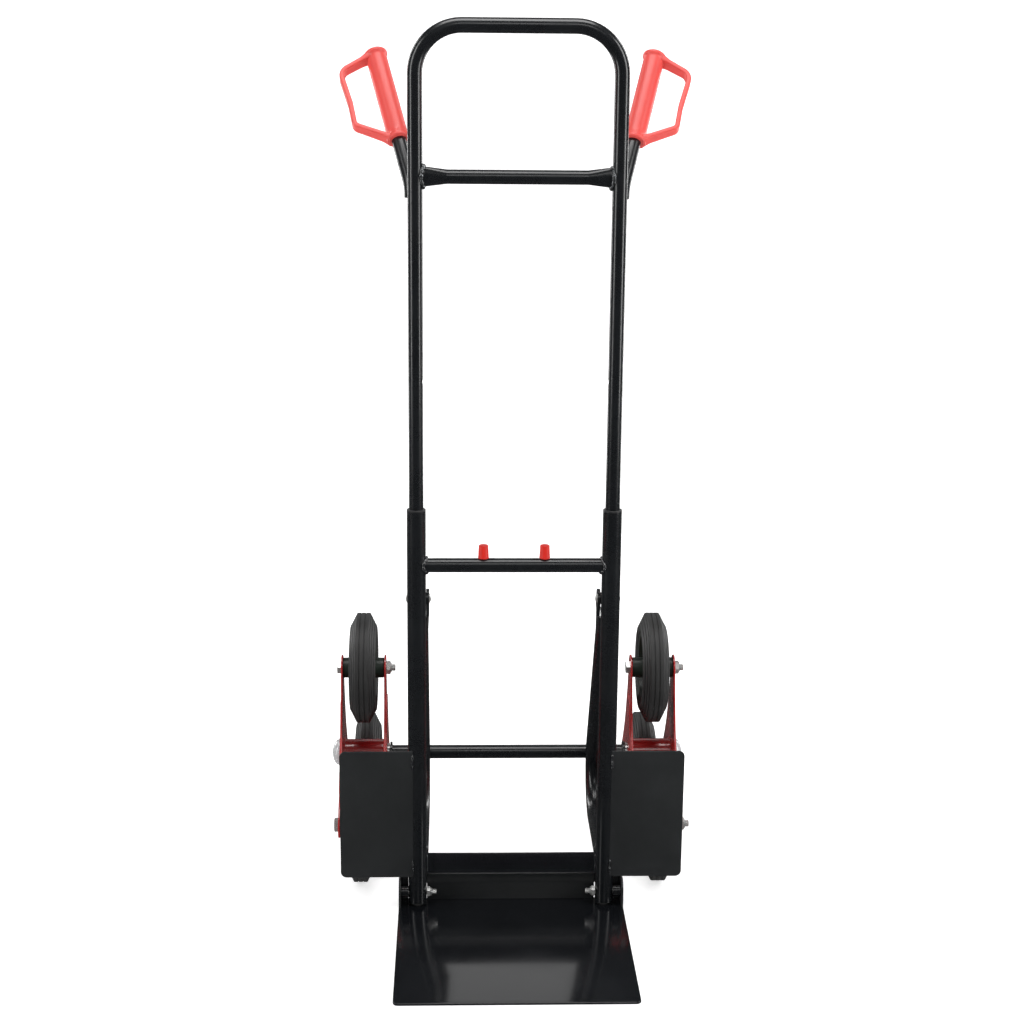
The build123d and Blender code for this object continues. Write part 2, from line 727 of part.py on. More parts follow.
def star_plate(x_seat, way):
    """Plate whose wheel side is at x_seat, with its middle pressed away from the wheels."""
    with BuildPart() as plate:
        with BuildSketch(across(x_seat, axle_y, axle_z)):
            with BuildLine():
                star_outline()
            make_face()
        extrude(amount=way * sheet)
        for start, inset in ((x_seat + way * sheet, pressing_inset),
                             (x_seat, pressing_inset + sheet)):
            with BuildSketch(across(start, axle_y, axle_z)):
                with BuildLine():
                    star_outline()
                make_face()
                offset(amount=-inset, mode=Mode.REPLACE)
                Circle(pressing_reach + pressing_inset - inset, mode=Mode.INTERSECT)
            raised = inset == pressing_inset
            extrude(amount=way * pressing, mode=Mode.ADD if raised else Mode.SUBTRACT)
        with BuildSketch(across(x_seat - way * pressing, axle_y, axle_z)):
            Circle(plate_bore_radius)
            with PolarLocations(star_radius, 3, start_angle=arms["upper"]):
                Circle(wheel_bolt_radius + bolt_play)
        extrude(amount=way * (sheet + 3 * pressing), mode=Mode.SUBTRACT)
    return plate.part


wheel_side_inner = star_inner_x + sheet
wheel_side_outer = star_outer_x - sheet
for side, sx in sides.items():
    save(star_plate(sx * wheel_side_inner, -sx), f"{side}_star_inner_plate")
    save(star_plate(sx * wheel_side_outer, sx), f"{side}_star_outer_plate")

    hub_start = wheel_side_inner - pressing
    hub_end = wheel_side_outer + pressing
    save(ring_x(sx * hub_start, sx * hub_end, axle_y, axle_z, hub_tube_radius, bush_radius),
         f"{side}_star_hub_tube")
    with BuildPart() as star_bushes:
        for start in (hub_start, hub_end - bush_length):
            add(ring_x(sx * start, sx * (start + bush_length), axle_y, axle_z,
                       bush_radius, axle_radius + axle_play))
    save(star_bushes.part, f"{side}_star_bushes")

    # every bolt has its head towards -X and its nut towards +X
    bolt_seat, nut_seat = sorted((sx * star_inner_x, sx * star_outer_x))
    with BuildPart() as wheel_bolts:
        for angle in arms.values():
            add(hex_bolt_x(bolt_seat, wheel_bolt_reach, *arm_point(angle),
                           wheel_bolt_radius, wheel_bolt_size, wheel_bolt_head))
    save(wheel_bolts.part, f"{side}_wheel_bolts")
    with BuildPart() as wheel_nuts:
        for angle in arms.values():
            add(hex_nut_x(nut_seat, wheel_nut_height, *arm_point(angle),
                          wheel_bolt_radius, wheel_bolt_size))
    save(wheel_nuts.part, f"{side}_wheel_nuts")
    with BuildPart() as wheel_spacers:
        for angle in arms.values():
            add(ring_x(sx * wheel_side_inner, sx * wheel_side_outer, *arm_point(angle),
                       spacer_outer_radius, wheel_bolt_radius + bolt_play))
    save(wheel_spacers.part, f"{side}_wheel_spacers")

# ================================================================ wheels
tyre_half_width = 19.0
tread_half_width = 9.5
shoulder_radius = 61.0
rim_radius = 51.0
rim_half_width = 16.0
rim_inner_radius = 44.0
web_half_thickness = 3.0
hub_radius = 15.0
hub_half_length = (wheel_side_outer - wheel_side_inner) / 2 - 0.4
window_count = 5
window_radius = 8.5
window_reach = (hub_radius + rim_inner_radius) / 2
wheel_middle_x = (wheel_side_inner + wheel_side_outer) / 2
wheel_bore_radius = spacer_outer_radius + 0.05

for side, sx in sides.items():
    for arm, angle in arms.items():
        wheel_y, wheel_z = arm_point(angle)
        centre = (sx * wheel_middle_x, wheel_y, wheel_z)
        spin = Axis(centre, (1, 0, 0))
        section = Plane(origin=centre, x_dir=(1, 0, 0), z_dir=(0, -1, 0))
        with BuildPart() as tyre:
            with BuildSketch(section):
                with BuildLine():
                    Polyline(
                        (-tyre_half_width, rim_radius),
                        (-tyre_half_width, shoulder_radius),
                        (-tread_half_width, wheel_radius),
                        (tread_half_width, wheel_radius),
                        (tyre_half_width, shoulder_radius),
                        (tyre_half_width, rim_radius),
                        close=True,
                    )
                make_face()
            revolve(axis=spin)
        save(tyre.part, f"{side}_{arm}_tyre")

        with BuildPart() as rim:
            with BuildSketch(section):
                with BuildLine():
                    Polyline(
                        (-hub_half_length, wheel_bore_radius),
                        (-hub_half_length, hub_radius),
                        (-web_half_thickness, hub_radius),
                        (-web_half_thickness, rim_inner_radius),
                        (-rim_half_width, rim_inner_radius),
                        (-rim_half_width, rim_radius),
                        (rim_half_width, rim_radius),
                        (rim_half_width, rim_inner_radius),
                        (web_half_thickness, rim_inner_radius),
                        (web_half_thickness, hub_radius),
                        (hub_half_length, hub_radius),
                        (hub_half_length, wheel_bore_radius),
                        close=True,
                    )
                make_face()
            revolve(axis=spin)
            with BuildSketch(across(centre[0] - web_half_thickness, wheel_y, wheel_z)):
                with PolarLocations(window_reach, window_count, start_angle=angle):
                    Circle(window_radius)
            extrude(amount=2 * web_half_thickness, mode=Mode.SUBTRACT)
        save(rim.part, f"{side}_{arm}_rim")
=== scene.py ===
import json
import math
import random

import bmesh
import bpy
from mathutils import Matrix, Vector


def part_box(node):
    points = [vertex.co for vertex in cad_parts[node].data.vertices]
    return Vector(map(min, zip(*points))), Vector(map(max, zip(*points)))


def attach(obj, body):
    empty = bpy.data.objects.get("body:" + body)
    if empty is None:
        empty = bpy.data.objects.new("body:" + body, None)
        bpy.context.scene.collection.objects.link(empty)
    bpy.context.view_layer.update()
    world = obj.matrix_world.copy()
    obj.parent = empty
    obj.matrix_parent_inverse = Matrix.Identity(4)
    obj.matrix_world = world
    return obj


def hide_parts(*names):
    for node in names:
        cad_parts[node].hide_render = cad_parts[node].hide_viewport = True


# Stair climbing trolley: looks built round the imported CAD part. Metres, part frame.

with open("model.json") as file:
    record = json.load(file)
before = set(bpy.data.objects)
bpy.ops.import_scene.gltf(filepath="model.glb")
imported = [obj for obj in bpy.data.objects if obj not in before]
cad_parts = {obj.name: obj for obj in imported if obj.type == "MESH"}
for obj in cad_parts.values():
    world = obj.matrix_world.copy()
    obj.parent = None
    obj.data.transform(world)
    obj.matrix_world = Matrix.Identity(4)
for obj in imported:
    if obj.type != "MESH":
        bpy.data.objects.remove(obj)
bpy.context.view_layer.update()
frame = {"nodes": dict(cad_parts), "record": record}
record = frame["record"]
nodes = frame["nodes"]
MM = 0.001
SIDES = {"left": -1, "right": 1}
ARMS = ("upper", "front", "rear")


def middle(node):
    low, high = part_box(node)
    return (low + high) / 2


# places read off the CAD parts
tube_x = middle("right_side_tube").x
tube_y = middle("right_side_tube").y
sleeve_r = (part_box("right_side_tube")[1].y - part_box("right_side_tube")[0].y) / 2
leg_r = (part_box("handle_tube")[1].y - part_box("handle_tube")[0].y) / 2
bar_z = middle("handle_crossbar").z
release_z = middle("release_crossbar").z
axle = middle("axle")
axle_r = (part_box("axle")[1].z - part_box("axle")[0].z) / 2


# ------------------------------------------------------------------ materials
NOISE_LOW, NOISE_HIGH = 0.3, 0.7         # the part of a noise's range that is spread over a change
FINE_SHARE = 0.35                        # how much of the sheen follows the fine grain
SPECK_SCALE, SPECK_FROM, SPECK_TO = 260.0, 0.74, 0.8
SKIN_DEPTHS = (0.004, 0.0015, 0.001)     # how far red, green and blue light travels inside a plastic


def surface(name, colour, rough, metal=0.0, coat=0.0, coat_rough=0.1, grain=900.0, bump=0.05,
            patch=14.0, colour_change=0.12, rough_change=0.12, specks=0.0, speck_colour=(0.5, 0.5, 0.5),
            specular=0.5, subsurface=0.0, bump_size=0.0002):
    """Painted, plated or moulded surface with fine grain, patchy sheen and a slight change of colour."""
    m = bpy.data.materials.new(name)
    m.use_nodes = True
    t = m.node_tree
    t.nodes.clear()

    def node(kind, **values):
        n = t.nodes.new(kind)
        for key, value in values.items():
            setattr(n, key, value)
        return n

    out = node("ShaderNodeOutputMaterial")
    bsdf = node("ShaderNodeBsdfPrincipled")
    t.links.new(bsdf.outputs[0], out.inputs[0])
    coords = node("ShaderNodeTexCoord")
    where = coords.outputs["Object"]

    fine = node("ShaderNodeTexNoise")
    fine.inputs["Scale"].default_value = grain
    fine.inputs["Detail"].default_value = 4.0
    t.links.new(where, fine.inputs["Vector"])
    broad = node("ShaderNodeTexNoise")
    broad.inputs["Scale"].default_value = patch
    broad.inputs["Detail"].default_value = 5.0
    broad.inputs["Roughness"].default_value = 0.6
    t.links.new(where, broad.inputs["Vector"])

    shade = node("ShaderNodeMapRange")
    shade.inputs["From Min"].default_value = NOISE_LOW
    shade.inputs["From Max"].default_value = NOISE_HIGH
    shade.inputs["To Min"].default_value = 1.0 - colour_change
    shade.inputs["To Max"].default_value = 1.0 + colour_change
    t.links.new(broad.outputs["Fac"], shade.inputs["Value"])
    tint = node("ShaderNodeVectorMath", operation="SCALE")
    tint.inputs[0].default_value = colour
    t.links.new(shade.outputs[0], tint.inputs["Scale"])
    shown = tint.outputs[0]

    if specks > 0:
        dots = node("ShaderNodeTexNoise")
        dots.inputs["Scale"].default_value = SPECK_SCALE
        dots.inputs["Detail"].default_value = 2.0
        t.links.new(where, dots.inputs["Vector"])
        only = node("ShaderNodeMapRange")
        only.inputs["From Min"].default_value = SPECK_FROM
        only.inputs["From Max"].default_value = SPECK_TO
        only.inputs["To Max"].default_value = specks
        t.links.new(dots.outputs["Fac"], only.inputs["Value"])
        mix = node("ShaderNodeMix", data_type="RGBA")
        mix.inputs["B"].default_value = (*speck_colour, 1)
        t.links.new(only.outputs[0], mix.inputs["Factor"])
        t.links.new(shown, mix.inputs["A"])
        shown = mix.outputs["Result"]
    t.links.new(shown, bsdf.inputs["Base Color"])

    sheen = node("ShaderNodeMapRange")
    sheen.inputs["From Min"].default_value = NOISE_LOW
    sheen.inputs["From Max"].default_value = NOISE_HIGH
    sheen.inputs["To Min"].default_value = max(0.02, rough - rough_change)
    sheen.inputs["To Max"].default_value = min(1.0, rough + rough_change)
    both = node("ShaderNodeMath", operation="MULTIPLY_ADD")
    both.inputs[1].default_value = FINE_SHARE
    t.links.new(fine.outputs["Fac"], both.inputs[0])
    weaker = node("ShaderNodeMath", operation="MULTIPLY")
    weaker.inputs[1].default_value = 1.0 - FINE_SHARE
    t.links.new(broad.outputs["Fac"], weaker.inputs[0])
    t.links.new(weaker.outputs[0], both.inputs[2])
    t.links.new(both.outputs[0], sheen.inputs["Value"])
    t.links.new(sheen.outputs[0], bsdf.inputs["Roughness"])

    relief = node("ShaderNodeBump")
    relief.inputs["Strength"].default_value = bump
    relief.inputs["Distance"].default_value = bump_size
    t.links.new(fine.outputs["Fac"], relief.inputs["Height"])
    t.links.new(relief.outputs[0], bsdf.inputs["Normal"])

    bsdf.inputs["Metallic"].default_value = metal
    bsdf.inputs["Specular IOR Level"].default_value = specular
    bsdf.inputs["Coat Weight"].default_value = coat
    bsdf.inputs["Coat Roughness"].default_value = coat_rough
    if subsurface > 0:
        bsdf.inputs["Subsurface Weight"].default_value = subsurface
        bsdf.inputs["Subsurface Radius"].default_value = SKIN_DEPTHS
        bsdf.inputs["Subsurface Scale"].default_value = 1.0
    return m


black = surface("powder_coat", (0.0055, 0.0066, 0.0080), 0.28, coat=0.25, coat_rough=0.10, grain=1100,
                bump=0.10, rough_change=0.08, colour_change=0.18, specks=0.03,
                speck_colour=(0.12, 0.12, 0.13))
black_plate = surface("powder_coat_plate", (0.0150, 0.0165, 0.0175), 0.36, coat=0.25, coat_rough=0.20,
                      grain=800, bump=0.14, rough_change=0.08, colour_change=0.2, specks=0.08,
                      speck_colour=(0.1, 0.1, 0.11), patch=9)
# darker, glossier black for the toe plate deck; on the cross plate its darker tone is painted shade
black_deck = surface("powder_coat_deck", (0.0070, 0.0078, 0.0095), 0.16, coat=0.5, coat_rough=0.09,
                     grain=900, bump=0.05, rough_change=0.06, colour_change=0.2, specks=0.08,
                     speck_colour=(0.1, 0.1, 0.11), patch=9)
red = surface("red_enamel", (0.44, 0.020, 0.020), 0.26, coat=0.7, coat_rough=0.07, grain=700, bump=0.08,
              colour_change=0.14, rough_change=0.08)
# partly diffuse light grey: partly the plating's own tone, partly painted reflection of bright surroundings
zinc = surface("bright_zinc", (0.46, 0.46, 0.45), 0.25, metal=0.6, grain=1500, bump=0.12,
               rough_change=0.14, colour_change=0.1, specks=0.2, speck_colour=(0.3, 0.29, 0.27))
steel = surface("spring_steel", (0.45, 0.44, 0.42), 0.34, metal=1.0, grain=1500, bump=0.1)
# mostly diffuse light grey: partly the plating's own tone, partly painted reflection standing in for the
# bright surroundings a mirror finish would show
chrome = surface("polished_chrome", (0.62, 0.63, 0.64), 0.26, metal=0.3, grain=500, bump=0.03,
                 rough_change=0.06, colour_change=0.05)
coral = surface("coral_plastic", (0.76, 0.088, 0.076), 0.38, grain=1600, bump=0.16, colour_change=0.05,
                rough_change=0.07, subsurface=0.10, specular=0.45)
knob_red = surface("red_plastic", (0.60, 0.022, 0.014), 0.38, specular=0.3, grain=900, bump=0.08,
                   colour_change=0.06, rough_change=0.06, subsurface=0.08)
rubber = surface("ribbed_rubber", (0.029, 0.029, 0.029), 0.55, grain=700, bump=0.35, colour_change=0.25,
                 rough_change=0.12, specks=0.3, speck_colour=(0.07, 0.066, 0.06), specular=0.42)
rim_black = surface("rim_plastic", (0.012, 0.019, 0.013), 0.42, grain=900, bump=0.2, colour_change=0.2,
                    rough_change=0.1, specks=0.15, speck_colour=(0.05, 0.05, 0.045))
plain_black = surface("black_plastic", (0.016, 0.016, 0.017), 0.40, grain=1200, bump=0.15)
weld = surface("painted_weld", (0.012, 0.013, 0.015), 0.14, coat=1.0, coat_rough=0.03, grain=520,
               bump=0.6, rough_change=0.10, specks=0.5, speck_colour=(0.35, 0.35, 0.36), bump_size=0.0004,
               specular=0.8)
# the light specks on this weld are painted glints: painted highlights laid into a dark metallic bead
painted_glint_weld = surface("glossy_weld_painted_glints", (0.10, 0.105, 0.11), 0.12, metal=0.85, coat=1.0, coat_rough=0.03,
                      grain=420, bump=0.7, rough_change=0.08, specks=0.6, speck_colour=(0.7, 0.7, 0.72),
                      bump_size=0.0005)
nylon = surface("nylon_ring", (0.10, 0.22, 0.36), 0.42, grain=1200, bump=0.1)

BY_SLOT = {"black_paint": black, "zinc": zinc, "chrome": chrome, "red_paint": red, "red_plastic": knob_red,
           "grip_coral": coral, "tyre": rubber, "black_plastic": plain_black, "spring_steel": steel,
           "rim_plastic": rim_black}
node_slot = {s["node"]: s["material_slot"] for s in record["subparts"]}
plates = ("toe_plate", "left_wheel_guard", "right_wheel_guard", "lower_cross_plate")


def paint(obj, material):
    if obj.data.materials:
        for i in range(len(obj.data.materials)):
            obj.data.materials[i] = material
    else:
        obj.data.materials.append(material)


for name, obj in nodes.items():
    paint(obj, black_plate if name in plates else BY_SLOT[node_slot[name]])


# ------------------------------------------------------------------ mesh helpers
def make(name, verts, faces, material, body, slot, stands_for=(), at=None, sharp=32.0, mesh=None):
    """A piece from points and faces in metres, riding on a CAD body."""
    if mesh is None:
        mesh = bpy.data.meshes.new(name)
        mesh.from_pydata([tuple(v) for v in verts], [], faces)
        mesh.validate()
        tidy = bmesh.new()
        tidy.from_mesh(mesh)
        bmesh.ops.remove_doubles(tidy, verts=tidy.verts, dist=1e-6)
        bmesh.ops.recalc_face_normals(tidy, faces=tidy.faces)
        tidy.to_mesh(mesh)
        tidy.free()
        for p in mesh.polygons:
            p.use_smooth = True
        mesh.set_sharp_from_angle(angle=math.radians(sharp))
        mesh.materials.append(material)
    obj = bpy.data.objects.new(name, mesh)
    bpy.context.scene.collection.objects.link(obj)
    if at is not None:
        obj.matrix_world = at
    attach(obj, body)
    if stands_for:
        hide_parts(*stands_for)
    return obj


def grid_faces(rings, around, closed_rings=False):
    """Four-sided faces between rings of points; closed_rings joins the last ring to the first."""
    faces = []
    for i in range(rings if closed_rings else rings - 1):
        for j in range(around):
            a = i * around + j
            b = i * around + (j + 1) % around
            c = ((i + 1) % rings) * around + (j + 1) % around
            d = ((i + 1) % rings) * around + j
            faces.append([a, b, c, d])
    return faces


def ring_loop(cx, cy, radius, count=40):
    """Points on a circle in two dimensions."""
    return [(cx + radius * math.cos(2 * math.pi * k / count), cy + radius * math.sin(2 * math.pi * k / count))
            for k in range(count)]


def x_ring(x, radius, around):
    """Points on a circle about the X axis."""
    return [(x, y, z) for y, z in ring_loop(0.0, 0.0, radius, around)]


def z_ring(x, y, z, radius, around):
    """Points on a circle about a line along Z."""
    return [(*point, z) for point in ring_loop(x, y, radius, around)]


def hex_radius(angle, across):
    """Distance from the middle of a hexagon to its edge, in one direction; across is between its flats."""
    from_flat = (math.degrees(angle) + 30) % 60 - 30
    return across / 2 / math.cos(math.radians(from_flat))


def lathe(profile, around=96, closed=True):
    """Points (x, radius) turned about the X axis. A closed profile is a ring with a bore."""
    verts = [point for x, r in profile for point in x_ring(x, r, around)]
    return verts, grid_faces(len(profile), around, closed_rings=closed)


def rounded(points, radius, steps=4, closed=True):
    """The 2-D line with each corner replaced by an arc. A point may carry its own radius as a third value."""
    out = []
    n = len(points)
    for i, p in enumerate(points):
        here = Vector(p[:2])
        if not closed and i in (0, n - 1):
            out.append(tuple(here))
            continue
        own = p[2] if len(p) > 2 else radius
        a = Vector(points[i - 1][:2]) - here
        b = Vector(points[(i + 1) % n][:2]) - here
        own = min(own, a.length * 0.49, b.length * 0.49)
        turn = a.angle(b) if a.length > 1e-12 and b.length > 1e-12 else math.pi
        if own < 1e-7 or turn > math.pi - 0.02:
            out.append(tuple(here))
            continue
        cut = min(own / math.tan(turn / 2), a.length * 0.49, b.length * 0.49)
        arc = cut * math.tan(turn / 2)
        first = here + a.normalized() * cut
        last = here + b.normalized() * cut
        centre = here + (a.normalized() + b.normalized()).normalized() * math.hypot(cut, arc)
        u = first - centre
        v = last - centre
        whole = u.angle(v)
        for k in range(steps + 1):
            s = k / steps
            w = (u * math.sin((1 - s) * whole) + v * math.sin(s * whole)) / math.sin(whole)
            out.append(tuple(centre + w))
    return out


def sweep(path, section, closed=False, scales=None, up=None):
    """A closed section (list of 2-D points) carried along a 3-D path; ends are capped."""
    path = [Vector(p) for p in path]
    n = len(path)
    verts, side = [], None
    for i, p in enumerate(path):
        ahead = path[(i + 1) % n] if closed or i < n - 1 else p
        behind = path[i - 1] if closed or i > 0 else p
        along = (ahead - behind).normalized()
        if up is not None:
            side = Vector(up).cross(along).normalized()
        elif side is None:
            side = along.orthogonal().normalized()
        else:
            side = (side - along * side.dot(along)).normalized()
        rise = along.cross(side)
        k = scales[i] if scales else (1.0, 1.0)
        k = k if isinstance(k, tuple) else (k, k)
        verts += [p + side * (s[0] * k[0]) + rise * (s[1] * k[1]) for s in section]
    m = len(section)
    faces = grid_faces(n, m, closed_rings=closed)
    if not closed:
        faces.append(list(range(m))[::-1])
        faces.append([(n - 1) * m + j for j in range(m)])
    return verts, faces


def join(*parts):
    """One mesh from several (points, faces)."""
    verts, faces = [], []
    for v, f in parts:
        base = len(verts)
        verts += list(v)
        faces += [[base + k for k in face] for face in f]
    return verts, faces


BEAD_PITCH = 2.6 * MM
STEPS_PER_RIPPLE = 5
BEAD_DRIFT = 0.18                        # share of its radius that a bead wanders up or down


def bead(points, radius, seed, closed=False, rough=0.22):
    """Weld bead: a lumpy rope laid along points, with the ripple that the pool leaves."""
    rng = random.Random(seed)
    line = [Vector(p) for p in points]
    if closed:
        line.append(line[0])
    total = sum((b - a).length for a, b in zip(line, line[1:]))
    count = max(8, int(total / (BEAD_PITCH / STEPS_PER_RIPPLE)))
    even, k, walked = [], 0, 0.0
    for i in range(count + 1):
        want = total * i / count
        while k < len(line) - 2 and walked + (line[k + 1] - line[k]).length < want:
            walked += (line[k + 1] - line[k]).length
            k += 1
        step = (line[k + 1] - line[k]).length
        even.append(line[k].lerp(line[k + 1], min(1.0, (want - walked) / max(step, 1e-9))))
    if closed:
        even = even[:-1]
    lumps = [rng.uniform(1 - rough, 1 + rough) for _ in range(int(total / BEAD_PITCH) + 3)]
    drift = [rng.uniform(-BEAD_DRIFT, BEAD_DRIFT) for _ in lumps]
    scales, moved = [], []
    for i, p in enumerate(even):
        at = total * i / count / BEAD_PITCH
        cell, part = int(at), at - int(at)
        size = lumps[cell] * (1 - part) + lumps[cell + 1] * part
        size *= 0.80 + 0.26 * math.sin(math.pi * part) ** 0.7
        end = min(i, len(even) - 1 - i) / 4
        if not closed and end < 1:
            size *= 0.35 + 0.65 * end
        scales.append(size)
        moved.append(p + Vector((0, 0, radius * drift[cell])))
    return sweep(moved, ring_loop(0.0, 0.0, radius, 10), closed=closed, scales=scales)


def outline_plate(name, loops, thickness, bevel, material, body, slot, at, stands_for=()):
    """Flat plate with rounded edges from closed 2-D loops: the outside, then any holes."""
    curve = bpy.data.curves.new(name, "CURVE")
    curve.dimensions = "2D"
    curve.fill_mode = "BOTH"
    curve.extrude = thickness / 2 - bevel
    curve.bevel_depth = bevel
    curve.bevel_resolution = 3
    curve.offset = -bevel
    for loop in loops:
        spline = curve.splines.new("POLY")
        spline.points.add(len(loop) - 1)
        for k, p in enumerate(loop):
            spline.points[k].co = (p[0], p[1], 0, 1)
        spline.use_cyclic_u = True
    holder = bpy.data.objects.new(name + "_line", curve)
    bpy.context.scene.collection.objects.link(holder)
    bpy.context.view_layer.update()
    made = bpy.data.meshes.new_from_object(holder.evaluated_get(bpy.context.evaluated_depsgraph_get()))
    bpy.data.objects.remove(holder)
    verts = [tuple(v.co) for v in made.vertices]
    faces = [list(p.vertices) for p in made.polygons]
    bpy.data.meshes.remove(made)
    return make(name, verts, faces, material, body, slot, stands_for, at, sharp=24)


def facing_x(x, y, z):
    """Local x to +Y, local y to +Z, local z to +X."""
    return Matrix(((0, 0, 1, x), (1, 0, 0, y), (0, 1, 0, z), (0, 0, 0, 1)))


def facing_y(y):
    """Local x to +X, local y to +Z, local z to -Y."""
    return Matrix(((1, 0, 0, 0), (0, 0, -1, y), (0, 1, 0, 0), (0, 0, 0, 1)))


# ------------------------------------------------------------------ bolts and nuts
HEX_AROUND = 48                          # points round a head or nut
HEX_CHAMFER = 0.55
HEX_FACE = 0.97                          # width of the round face, as a share of the flats


def hexagon(x0, height, across, way, chamfer_both=False):
    """Rings of a hexagonal head or nut standing along X from x0, its far face chamfered round."""
    face_r = across / 2 * HEX_FACE
    edges = []
    for far, chamfered in ((False, chamfer_both), (True, True)):
        edge = []
        for j in range(HEX_AROUND):
            a = 2 * math.pi * j / HEX_AROUND
            r = hex_radius(a, across)
            drop = (r - across / 2) * HEX_CHAMFER if chamfered else 0
            x = height - drop if far else drop
            edge.append((x0 + way * x, r * math.cos(a), r * math.sin(a)))
        edges.append(edge)
    return [x_ring(x0, face_r, HEX_AROUND)] + edges + [x_ring(x0 + way * height, face_r, HEX_AROUND)]


def solid_of(rings):
    """Closed mesh through rings of points, its two ends capped."""
    around = len(rings[0])
    verts = [p for ring in rings for p in ring]
    faces = grid_faces(len(rings), around)
    faces.append(list(range(around))[::-1])
    faces.append([(len(rings) - 1) * around + j for j in range(around)])
    return verts, faces


def threaded(x0, x1, radius, pitch=1.5 * MM, depth=0.55 * MM):
    """Threaded rod along X from x0 to x1, with a chamfered end at x1."""
    way = 1 if x1 > x0 else -1
    around = 32
    chamfer = 1.2 * MM
    length = abs(x1 - x0)
    count = max(6, int(length / pitch * 8))
    rings = []
    for i in range(count + 1):
        s = length * i / count
        ring = []
        for j in range(around):
            phase = (s / pitch - j / around) % 1.0
            tooth = abs(phase * 2 - 1)
            r = radius - depth * tooth
            left = length - s
            if left < chamfer:
                r = min(r, radius - (chamfer - left) * 0.8)
            a = 2 * math.pi * j / around
            ring.append((x0 + way * s, r * math.cos(a), r * math.sin(a)))
        rings.append(ring)
    return solid_of(rings)


def disc(x0, x1, radius, edge=0.3 * MM, bore=None, around=64):
    """Washer or plug along X with softened edges."""
    inner = bore or 1e-7
    soft = edge if x1 > x0 else -edge
    points = [(x0, inner), (x0, radius - edge), (x0 + soft, radius), (x1 - soft, radius), (x1, radius - edge),
              (x1, inner)]
    return lathe(points, around, closed=bore is not None)


def shift(part, y, z):
    """The same (points, faces) moved in Y and Z."""
    return [(v[0], v[1] + y, v[2] + z) for v in part[0]], part[1]


# ------------------------------------------------------------------ wheels
hub_half = (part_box("left_upper_rim")[1].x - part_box("left_upper_rim")[0].x) / 2


def tyre_profile():
    """Ribbed section, in metres: one half from tread to bead, and the same mirrored."""
    tread_r, tread = 80.0, 9.5
    groove_x, groove = 3.4, 1.1
    half = [(groove_x - 0.9, tread_r), (groove_x - 0.5, tread_r - groove), (groove_x + 0.5, tread_r - groove),
            (groove_x + 0.9, tread_r), (tread - 0.7, tread_r), (tread, tread_r - 0.5)]
    # three grooves down the shoulder
    start, end = Vector((tread, 79.6)), Vector((19.0, 61.0))
    along = (end - start).normalized()
    out = Vector((-along.y, along.x))
    out = out if out.x > 0 else -out
    reach = (end - start).length
    for share in (0.16, 0.45, 0.74):
        at = start + along * reach * share
        for step, sink in ((-1.1, 0.0), (-0.6, 1.0), (0.6, 1.0), (1.1, 0.0)):
            p = at + along * step - out * sink
            half.append((p.x, p.y))
    half += [(18.9, 61.6), (19.0, 60.2), (19.0, 57.0), (18.2, 56.4), (18.0, 54.0), (17.2, 52.2), (15.8, 51.0)]
    right = [(x * MM, r * MM) for x, r in half]
    left = [(-x, r) for x, r in reversed(right)]
    return right + left


SPOKES = 5
FIRST_SPOKE = 126                        # degrees


def wheel_parts():
    """Tyre and rim, each as points, faces and the angle that counts as a sharp edge."""
    ring = [(-16, 51), (-16, 48), (-15.2, 44.6), (-13.6, 44.2), (-4, 43.2), (-3, 42.4), (-3, 41.2),
            (3, 41.2), (3, 42.4), (4, 43.2), (13.6, 44.2), (15.2, 44.6), (16, 48), (16, 51)]
    ring_part = lathe([(x * MM, r * MM) for x, r in ring], around=112)
    end = hub_half / MM
    hub = [(-end, 7.3), (-end, 13.8), (-end + 0.8, 14.6), (-8, 14.9), (-4.0, 15.4), (-3.0, 17.0), (3.0, 17.0),
           (4.0, 15.4), (8, 14.9), (end - 0.8, 14.6), (end, 13.8), (end, 7.3)]
    hub_part = lathe([(x * MM, r * MM) for x, r in hub], around=72)
    spokes = []
    for k in range(SPOKES):
        turn = math.radians(FIRST_SPOKE + 360 / SPOKES * k)
        # each spoke is a thin deep rib crossed by a wide flat one
        for r0, r1, half_x, half_w in ((14.0, 43.5, 11.0, 1.4), (14.0, 43.5, 2.6, 6.5)):
            sizes = [(r0, half_x, half_w), (r0 + 8, half_x * 0.72, half_w * 0.82),
                     (r1 - 7, half_x * 0.72, half_w * 0.86), (r1, half_x, half_w * 1.25)]
            rings = []
            for r, hx, hw in sizes:
                section = rounded([(-hx, -hw), (hx, -hw), (hx, hw), (-hx, hw)], 0.8, 3)
                rings.append([(sx * MM, (r * math.cos(turn) - sw * math.sin(turn)) * MM,
                               (r * math.sin(turn) + sw * math.cos(turn)) * MM) for sx, sw in section])
            spokes.append(solid_of(rings))
    return {"tyre": (*lathe(tyre_profile(), around=144), 25),
            "rim": (*join(ring_part, hub_part, *spokes), 30)}


wheel = wheel_parts()
shared = {"tyre": None, "rim": None}     # all six wheels share two meshes
for side in SIDES:
    for arm in ARMS:
        spot = Matrix.Translation(middle(f"{side}_{arm}_tyre"))
        for kind, look, slot_name in (("tyre", rubber, "tyre"), ("rim", rim_black, "rim_plastic")):
            verts, faces, sharp = wheel[kind]
            piece = make(f"{side}_{arm}_{kind}_shape", verts, faces, look, f"{side}_{arm}_wheel", slot_name,
                         (f"{side}_{arm}_{kind}",), spot, sharp=sharp, mesh=shared[kind])
            shared[kind] = piece.data


# ------------------------------------------------------------------ stars
# a plate's outline: a round tip at each wheel bolt, joined by wide arcs that pass the axle at the waist
star_reach = middle("left_upper_tyre").z - axle.z
tip_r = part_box("left_star_outer_plate")[1].z - axle.z - star_reach
waist = 62 * MM
side_centre = (star_reach ** 2 - (waist - tip_r) ** 2) / (star_reach - 2 * (waist - tip_r))
side_r = side_centre - waist


def polar(radius, degrees):
    return Vector((radius * math.cos(math.radians(degrees)), radius * math.sin(math.radians(degrees))))


